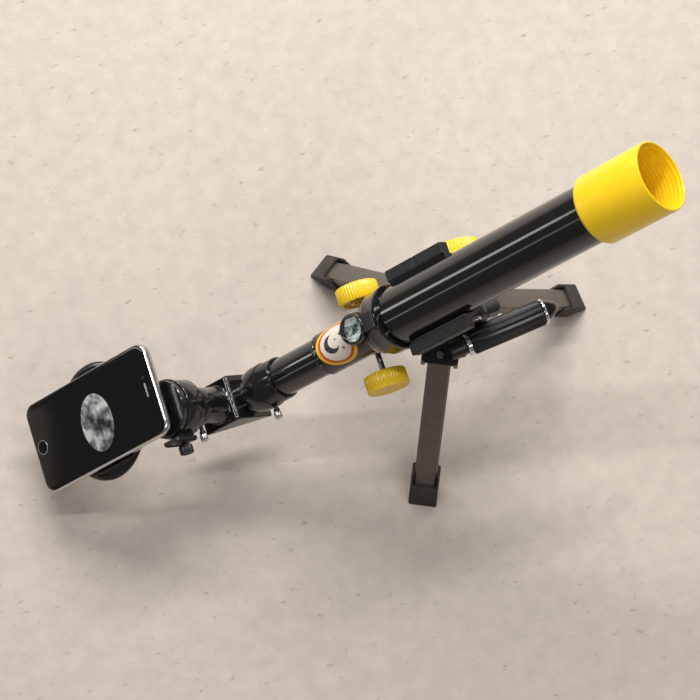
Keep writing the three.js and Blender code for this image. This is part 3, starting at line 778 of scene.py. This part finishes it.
def make_diagonal():
    half = DIAGONAL_HALF
    corners = [(half, half), (-half - 2, half), (half, -half - 2)]
    piece("diagonal_body", prism(corners, -half, half), DIAGONAL @ UPRIGHT, GLOSS, "diagonal",
          ["diagonal_box"], bevel=0.8)
    entry = tube(8.6, 13.6, half - 1, half + 6.5, 0.6)
    nose = tube(8.6, 9.8, half - 2, 42.5, 0.3)
    piece("diagonal_entry_ring", entry, DIAGONAL @ ALONG_X, GLOSS, "diagonal")
    piece("diagonal_nose", nose, DIAGONAL @ ALONG_X, CHROME, "diagonal")
    socket = [
        (11.2, half - 1),
        (14.6, half - 1),
        (14.6, half + 0.9),
        (13.9, half + 1.6),
        (13.6, half + 2.4),
        (13.6, half + 17.6),
        (13.9, half + 18.4),
        (14.2, half + 19),
        (14.2, half + 27.2),
        (13.7, half + 28),
        (11.9, half + 28),
        (11.2, half + 27.4),
        (11.2, half - 1),
    ]
    piece("eyepiece_socket", lathe(socket, 128), DIAGONAL, GLOSS, "diagonal", angle=40)
    strip = block(half - 3.3, half - 0.3, -15.8, 15.8, half - 0.2, half + 0.45)
    piece("diagonal_strip", strip, DIAGONAL, SATIN, "diagonal", ["ridge_strip"], bevel=0.15)
    lines = [block(half - x - 0.75, half - x, -15.5, 15.5, half + 0.3, half + 0.85) for x in (0.5, 2.35)]
    piece("diagonal_strip_lines", combined(*lines), DIAGONAL, STEEL, "diagonal", bevel=0.15)
    slope = DIAGONAL @ at(-1, 0, -1) @ HALF_TURN
    piece("diagonal_back", block(-24.6, 24.6, -16.6, 16.6, -2.3, -0.2), slope, SATIN, "diagonal",
          ["diagonal_plate"], bevel=0.4)
    ribs = [block(-22.6 + i * 2.1, -21.5 + i * 2.1, -15.6, 15.6, -3.2, -2.2) for i in range(22)]
    piece("diagonal_back_ribs", combined(*ribs), slope, SATIN, "diagonal", bevel=0.15)
    for x in (-20, 20):
        for y in (-16.9, 16.9):
            head = turned_to(puck(1.5, -0.3, 0.35, 0.2, 24), TO_RIGHT if y < 0 else ALONG_Y)
            word = f"{'front' if x > 0 else 'back'}_{'left' if y > 0 else 'right'}"
            piece(f"diagonal_screw_{word}", head, slope @ at(x * 0.85, y, 3.6), STEEL, "diagonal")
    keep("diagonal_mirror", MIRROR, bevel=0)


def make_eyepiece():
    barrel = [
        (8.8, 21),
        (10.7, 21),
        (10.9, 21.3),
        (10.9, 45.5),
        (14.7, 45.5),
        (15, 45.8),
        (15, EYEPIECE_TOP - 1.5),
        (14.2, EYEPIECE_TOP - 0.6),
        (13, EYEPIECE_TOP),
        (7.5, EYEPIECE_TOP),
        (6, EYEPIECE_TOP - 1.6),
        (6, EYEPIECE_TOP - 3),
        (8.8, EYEPIECE_TOP - 3),
        (8.8, 21),
    ]
    piece("eyepiece_shell", lathe(barrel, 96), DIAGONAL, GLOSS, "holder", ["eyepiece"])
    lens = [(0, 52.2)] + [(8.5 * i / 6, 52.2 + (i / 6) ** 2) for i in range(1, 7)]
    lens += [(8.5 * i / 6, 56.6 - 1.2 * (i / 6) ** 2) for i in range(6, -1, -1)]
    piece("eye_glass", lathe(lens, 64), DIAGONAL, COATED, "holder", ["eye_lens"])


def make_holder():
    band = [
        (15.3, CLAMP_BACK_Z),
        (19.4, CLAMP_BACK_Z),
        (20.3, CLAMP_BACK_Z + 0.2),
        (20.7, CLAMP_BACK_Z + 0.9),
        (20.7, 64.6),
        (20.5, 65.1),
        (19.9, 65.3),
        (19.9, 65.9),
        (21.2, 66.2),
        (21.8, 66.8),
        (21.8, 67.8),
        (21.3, 68.3),
        (20.4, 68.4),
        (20.4, 69.1),
        (20.9, 69.4),
        (20.9, 72.6),
        (20.5, PLATE_HIGH),
        (7, PLATE_HIGH),
        (7, EYEPIECE_TOP + 0.5),
        (15.3, EYEPIECE_TOP + 0.5),
        (15.3, CLAMP_BACK_Z),
    ]
    piece("clamp_band", lathe(band, 128), DIAGONAL, GLOSS, "holder", ["phone_plate"],
          angle=40)
    centre = DIAGONAL @ at(-PLATE_BEHIND, PLATE_ASIDE, 0)
    low, high, rim = PLATE_LOW, PLATE_HIGH, PLATE_R
    disc = [(0, low), (rim - 2.4, low), (rim - 0.6, low + 0.3), (rim, low + 1.1), (rim, low + 1.7),
            (rim - 0.5, high - 0.2), (rim - 1.4, high), (rim - 3.6, high), (rim - 4.1, high - 0.5),
            (0, high - 0.5)]
    piece("phone_disc", lathe(disc, 160), centre, GLOSS, "holder", angle=40)
    ribs = [tube(r, r + 1.4, low - 1.4, low + 0.1, 0.2, 128) for r in (14, 27, 38)]
    for i in range(12):
        turn = Matrix.Rotation(math.pi * i / 6, 4, "Z")
        ribs.append(turned_to(block(15, 38.6, -0.6, 0.6, low - 1.4, low + 0.1), turn))
    piece("phone_disc_ribs", combined(*ribs), centre, GLOSS, "holder")
    arm_at = DIAGONAL @ at(-30, 7, 0) @ Matrix.Rotation(math.radians(-14), 4, "Z")
    piece("phone_arm", prism(rounded(68, 32, 8), low - 0.2, high - 0.2), arm_at, GLOSS, "holder",
          bevel=0.6)
    ear = block(-6.5, 6.5, -22.8, -18, CLAMP_Z - 6, CLAMP_Z + 6)
    piece("clamp_ear", ear, DIAGONAL, GLOSS, "holder", bevel=0.8)
    lever = prism(rounded(22, 16, 3, 6), 23.2, 26)
    lever_at = DIAGONAL @ at(0, 0, 65) @ Matrix.Rotation(math.radians(90), 4, "X") @ ROLL
    piece("clamp_lever", lever, lever_at, SATIN, "holder", ["clamp_jaw"], bevel=0.5)
    for x in (-6, 6):
        rib = block(x - 0.6, x + 0.6, -26.8, -25.6, 56, 74)
        piece(f"lever_rib_{'back' if x < 0 else 'front'}", rib, DIAGONAL, SATIN, "holder",
              bevel=0.3)
    rivet = puck(1.1, 25.8, 26.6, 0.3, 32)
    piece("lever_rivet", rivet, DIAGONAL @ at(0, 0, 72.5) @ TO_RIGHT, STEEL, "holder")
    top = PHONE_BACK_Z - 0.3
    cup = [(0, high - 0.5), (7.2, high - 0.5), (8, high + 0.2), (7.6, high + 1), (6.6, top - 1),
           (6.5, top - 0.2), (5.6, top), (0, top - 0.1)]
    for number, (x_side, y_side) in enumerate(((1, 1), (1, -1), (-1, 1), (-1, -1)), 1):
        spot = centre @ at(x_side * PAD_SPACING, y_side * PAD_SPACING, 0)
        piece(f"suction_pad_{number}", lathe(cup, 64), spot, RUBBER, "holder",
              [f"grip_pad_{number}"], angle=45)


def make_clamp_screw():
    profile = [
        (0, 16, 0),
        (1.8, 16, 0),
        (1.8, 26.9, 0),
        (3.2, 27, 0),
        (3.2, 28.1, 0),
        (4.6, 28.2, 0.3),
        (5.2, 28.8, 1),
        (5.2, 33.9, 1),
        (4.6, 34.5, 0.3),
        (2.8, 34.6, 0),
        (2.5, 34.1, 0),
        (0, 34.1, 0),
    ]
    piece("clamp_knob", fluted(profile, 14, 0.7), DIAGONAL @ at(0, 0, CLAMP_Z) @ TO_RIGHT, SATIN, "clamp",
          ["clamp_screw"], angle=45)


# ---------------------------------------------------------------- phone


def phone_loop(inset, z):
    points = rounded(PHONE_LENGTH - 2 * inset, PHONE_WIDTH - 2 * inset, 9.5 - inset * 0.6, 12)
    return [(x, y, z) for x, y in points]


def make_phone():
    top = PHONE_THICK
    loops = []
    for i in range(13):
        angle = math.pi * (i / 12) - math.pi / 2
        loops.append(phone_loop(2.2 * (1 - math.cos(angle)), (top - 0.5) / 2 * (1 + math.sin(angle))))
    loops.append(phone_loop(2.3, top - 0.55))
    piece("phone_shell", lofted(loops), PHONE, SILVER, "phone", ["phone_frame"], angle=35)
    glass = [phone_loop(1.6, top - 0.9), phone_loop(1.15, top - 0.6), phone_loop(1.2, top - 0.3),
             phone_loop(1.5, top - 0.08), phone_loop(2.0, top + 0.02), phone_loop(2.8, top + 0.06)]
    piece("phone_front", lofted(glass), PHONE, SCREEN, "phone", ["phone_glass"], angle=40)
    key = PHONE @ at(-PHONE_LENGTH / 2 + 9.5, 0, 0)
    piece("home_ring", tube(4.9, 5.4, top - 0.2, top + 0.12, 0.1, 72), key, SILVER, "phone")
    piece("home_pad", puck(4.9, top - 0.3, top + 0.08, 0.1), key, SCREEN, "phone",
          ["home_key"])
    ear = PHONE @ at(PHONE_LENGTH / 2 - 8.5, 0, 0)
    piece("earpiece", prism(rounded(1.5, 10.4, 0.7, 6), top - 0.2, top + 0.1), ear, STEEL, "phone")
    piece("front_camera", puck(0.9, top - 0.2, top + 0.1, 0.1, 32), ear @ at(0.2, 9.5, 0), INK, "phone")
    piece("light_sensor", puck(0.7, top - 0.2, top + 0.09, 0.1, 32), ear @ at(4.2, 0, 0), INK, "phone")
    moon = PHONE @ at(3.3, -3.5, 0) @ Matrix.Diagonal((16.7, 21.6, 1, 1))
    disc = [(0, top + 0.075), (1, top + 0.075), (1, top + 0.095), (0, top + 0.095)]
    piece("moon_picture", lathe(disc, 96), moon, MOON, "phone")
    make_phone_sides()


def make_phone_sides():
    """Side keys, the socket and speaker holes at the end, and the camera on the back."""
    half_width = PHONE_WIDTH / 2
    keys = (("volume_up", 32, 9, 1), ("volume_down", 19, 9, 1), ("power", 30, 10, -1))
    for word, x, length, side in keys:
        key = prism(rounded(length, 2.4, 1.1, 6), -0.3, 0.35)
        turn = Matrix.Rotation(math.radians(-90 * side), 4, "X")
        piece(f"{word}_key", key, PHONE @ at(x, side * half_width, 3.3) @ turn, SILVER, "phone")
    end = PHONE @ at(-PHONE_LENGTH / 2, 0, 3.3) @ Matrix.Rotation(math.radians(-90), 4, "Y")
    piece("charge_socket", prism(rounded(2.4, 8, 1.1, 6), -0.4, 0.1), end, INK, "phone")
    holes = []
    for side in (-1, 1):
        for i in range(6):
            holes.append(turned_to(puck(0.65, -0.4, 0.1, 0.05, 20), at(0, side * (9 + i * 2.4), 0)))
    piece("speaker_holes", combined(*holes), end, INK, "phone")
    eye = PHONE @ at(PHONE_BEHIND, -PHONE_ASIDE, 0)
    piece("back_camera_ring", tube(3.4, 4.4, -0.7, 0.2, 0.2, 64), eye, SILVER, "phone")
    piece("back_camera_glass", puck(3.4, -0.5, 0.2, 0.1), eye, SCREEN, "phone")
    piece("back_flash", puck(1.8, -0.08, 0.2, 0.02, 32), eye @ at(0, 9, 0), WHITE, "phone")


# ---------------------------------------------------------------- head and tripod


def make_handle():
    grip = [
        (0, 3, 0),
        (8.4, 3, 0.3),
        (9.5, 4, 1),
        (9.6, 30, 1),
        (9.5, 57, 1),
        (8.4, 58, 0.3),
        (0, 58, 0),
    ]
    piece("grip_sleeve", fluted(grip, 14, 1.2, per_flute=12), HANDLE @ ALONG_X, SATIN, "head",
          ["handle_grip"], angle=50)
    for node, x0, x1 in (("handle_ring_back", -0.7, 2.7), ("handle_ring_front", 58.3, 60.3)):
        piece(f"{node}_turned", puck(9.2, x0, x1, 0.5, 96), HANDLE @ ALONG_X, CHROME, "head",
              [node])
    tip = [(0, 60.6), (7.4, 60.6), (7.6, 61), (6.9, 63), (5.4, 65.6), (3.8, 67.8), (2.4, 69),
           (1, 69.5), (0, 69.6)]
    piece("grip_tip", lathe(tip, 96), HANDLE @ ALONG_X, GLOSS, "head", ["handle_tip"])
    keep("handle_socket", CAST, bevel=0.3)


def make_tilt_lock():
    where = LEVEL @ ALONG_Y
    piece("tilt_wheel", wheel(TILT_WHEEL_R, 18, 38, 56, 0.75), where, YELLOW, "tilt_lock",
          ["tilt_knob"], angle=50)
    piece("tilt_wheel_neck", tube(3.3, 8, 15.4, 22.4, 0.4), where, YELLOW, "tilt_lock")
    bolt = [(0, -19), (5.4, -19), (6, -18.4), (6, -15.4), (3, -15.4), (3, 37.3), (0, 37.6)]
    piece("tilt_screw", lathe(bolt, 6), where, STEEL, "tilt_lock", ["tilt_bolt"], bevel=0.2)


def make_legs():
    for number, word in enumerate(LEG_WORDS, 1):
        fold = joint(f"leg_{word}_fold")
        across = Vector(fold["axis"])
        out = across.cross(Vector((0, 0, 1)))
        spoke = place(Vector(fold["pos_m"]), out, across, Vector((0, 0, 1)))
        leg = spoke @ Matrix.Rotation(math.radians(LEG_ANGLE), 4, "Y")
        body = f"leg_{word}"
        piece(f"leg_channel_{number}", leg_channel(), leg, LEG_GREY, body, [f"leg_{number}"],
              bevel=0.3, angle=28)
        washer = tube(2.3, 4, LEG_WIDTH / 2, LEG_WIDTH / 2 + 0.5, 0.1, 32)
        for side, turn in (("a", TO_RIGHT), ("b", ALONG_Y)):
            piece(f"leg_washer_{number}_{side}", washer, leg @ turn, STEEL, body)
        keep(f"foot_{number}", RUBBER, bevel=1.3, angle=28)
        pin = puck(2, -14.3, 14.3, 0.5, 32)
        piece(f"hinge_pin_{number}", pin, spoke @ ALONG_Y, STEEL, "tripod",
              [f"leg_pin_{number}"])


def leg_channel():
    """The sheet's section carried along the leg: a gently crowned face and two flanges."""
    half = LEG_WIDTH / 2
    crown = []
    for i in range(25):
        across = -1 + 2 * i / 24
        crown.append((half * across, 4.5 - 0.6 * across ** 2 - 1.5 * max(0, abs(across) - 0.84) / 0.16))
    inside = [(y * 0.86, z - 1.5) for y, z in crown]
    outline = [(-half, -5)] + crown + [(half, -5), (half - 1.4, -5)] + inside[::-1] + [(-half + 1.4, -5)]
    return turned_to(prism(outline, -4, LEG_END), LENGTHWISE)


def make_head():
    keep("hub", CAST, bevel=0.5)
    keep("pan_head", CAST, bevel=0.5)
    keep("pan_nut", CAST, bevel=0.4)
    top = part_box("hub")[1].z
    pan = Vector(joint("pan")["pos_m"])
    for number, word in enumerate(LEG_WORDS, 1):
        out = Vector(joint(f"leg_{word}_fold")["axis"]).cross(Vector((0, 0, 1)))
        spot = Vector((pan.x, pan.y, top)) + out * HUB_SCREW_RADIUS * MM
        head = place(spot, out, Vector((0, 0, 1)).cross(out), Vector((0, 0, 1)))
        piece(f"hub_screw_{number}", puck(2.6, -0.8, 0.5, 0.3, 48), head, STEEL, "tripod")


# ---------------------------------------------------------------- stage


def stone_look():
    """Pale stone with small dark specks."""
    stone = look("floor_stone", (0.52, 0.455, 0.4), 0.62, grain=0.25, grain_size=1.6, mottle=0.07,
                 vary=0.06)
    tree = stone.node_tree
    shader = tree.nodes["Principled BSDF"]
    plain = shader.inputs["Base Color"].links[0].from_socket
    specks = add_node(tree, "ShaderNodeMapRange", From_Min=0.62, From_Max=0.74, To_Min=0.0, To_Max=0.75)
    tree.links.new(noise_at(tree, 6, 7, (0.55, 1, 1)), specks.inputs["Value"])
    fleck = tree.nodes.new("ShaderNodeMix")
    fleck.data_type = "RGBA"
    fleck.blend_type = "MULTIPLY"
    fleck.inputs[7].default_value = (0.42, 0.4, 0.38, 1)
    tree.links.new(specks.outputs["Result"], fleck.inputs["Factor"])
    tree.links.new(plain, fleck.inputs[6])
    tree.links.new(fleck.outputs[2], shader.inputs["Base Color"])
    return stone


def make_floor():
    size = 2.6
    mesh = bpy.data.meshes.new("floor")
    corners = [(-size, -size, 0), (size, -size, 0), (size, size, 0), (-size, size, 0)]
    mesh.from_pydata(corners, [], [(0, 1, 2, 3)])
    obj = bpy.data.objects.new("floor", mesh)
    bpy.context.scene.collection.objects.link(obj)
    mesh.materials.append(stone_look())


def area_light(name, spot, aim, width, height, power, colour=(1, 1, 1), roll=0.0):
    lamp = bpy.data.lights.new(name, "AREA")
    lamp.shape = "RECTANGLE"
    lamp.size = width
    lamp.size_y = height
    lamp.energy = power
    lamp.color = colour
    obj = bpy.data.objects.new(name, lamp)
    obj.location = spot
    facing = (Vector(aim) - Vector(spot)).to_track_quat("-Z", "Y").to_matrix().to_4x4()
    obj.matrix_world = Matrix.Translation(spot) @ facing @ Matrix.Rotation(math.radians(roll), 4, "Z")
    obj.visible_camera = False
    bpy.context.scene.collection.objects.link(obj)


def make_lights():
    world = bpy.data.worlds.new("studio")
    world.use_nodes = True
    sky = world.node_tree.nodes["Background"]
    sky.inputs["Color"].default_value = (1.0, 0.96, 0.92, 1)
    sky.inputs["Strength"].default_value = 0.14
    bpy.context.scene.world = world
    centre = (0.02, 0, 0.12)
    area_light("key", (0.5, 1.3, 1.7), centre, 1.7, 0.22, 44, (1, 0.98, 0.95), 12)
    area_light("strip_top", (0.2, 0.5, 2.0), centre, 1.9, 0.06, 14, roll=6)
    area_light("strip_low", (0.1, 1.5, 0.8), centre, 1.6, 0.08, 8, roll=6)
    area_light("fill", (0.5, -1.2, 1.6), centre, 1.6, 0.08, 8, (1, 0.97, 0.94), -4)
    # Two upright strips low behind the eyepiece end, for the long highlights on the tube.
    area_light("rear_strip", (-2.0, 0.74, 0.5), (0.06, 0, 0.27), 0.26, 0.7, 2.6)
    area_light("rear_strip_thin", (-2.05, -0.46, 0.55), (0.06, 0, 0.27), 0.12, 0.7, 0.5)


def make_camera():
    azimuth, elevation, roll = (math.radians(a) for a in (-14.9, 77.4, -2.9))
    distance = 1.672
    look_at = Vector((0.0063, -0.0032, 0.15))
    flat = math.cos(elevation)
    sight = Vector((-math.sin(azimuth) * flat, math.cos(azimuth) * flat, -math.sin(elevation)))
    right = Vector((math.cos(azimuth), math.sin(azimuth), 0))
    above = right.cross(sight)
    spun = right * math.cos(roll) + above * math.sin(roll)
    raised = above * math.cos(roll) - right * math.sin(roll)
    lens = bpy.data.cameras.new("camera")
    lens.lens = 122.2
    lens.sensor_width = 36
    lens.clip_end = 20
    obj = bpy.data.objects.new("camera", lens)
    pose = Matrix.Identity(4)
    for column, axis in enumerate((spun, raised, -sight)):
        for row in range(3):
            pose[row][column] = axis[row]
    obj.matrix_world = Matrix.Translation(look_at - sight * distance) @ pose
    bpy.context.scene.collection.objects.link(obj)
    bpy.context.scene.camera = obj
    bpy.context.scene.view_settings.view_transform = "Standard"


make_camera()
make_floor()
make_lights()
make_tube()
make_cradle()
make_collar()
make_compass()
make_focuser()
make_label()
make_drawtube()
make_focus_wheels()
thumbscrew("ring_thumbscrew", TUBE @ at(RING_SCREW_X, 0, 0), 10.2, 21.3, "ring_screw", "drawtube_screw")
make_diagonal()
thumbscrew("socket_thumbscrew", DIAGONAL @ at(0, 0, DIAGONAL_HALF + 23.5), 11.3, 21.5, "side_screw",
           "socket_screw")
make_eyepiece()
make_holder()
make_clamp_screw()
make_phone()
make_handle()
make_tilt_lock()
make_legs()
make_head()
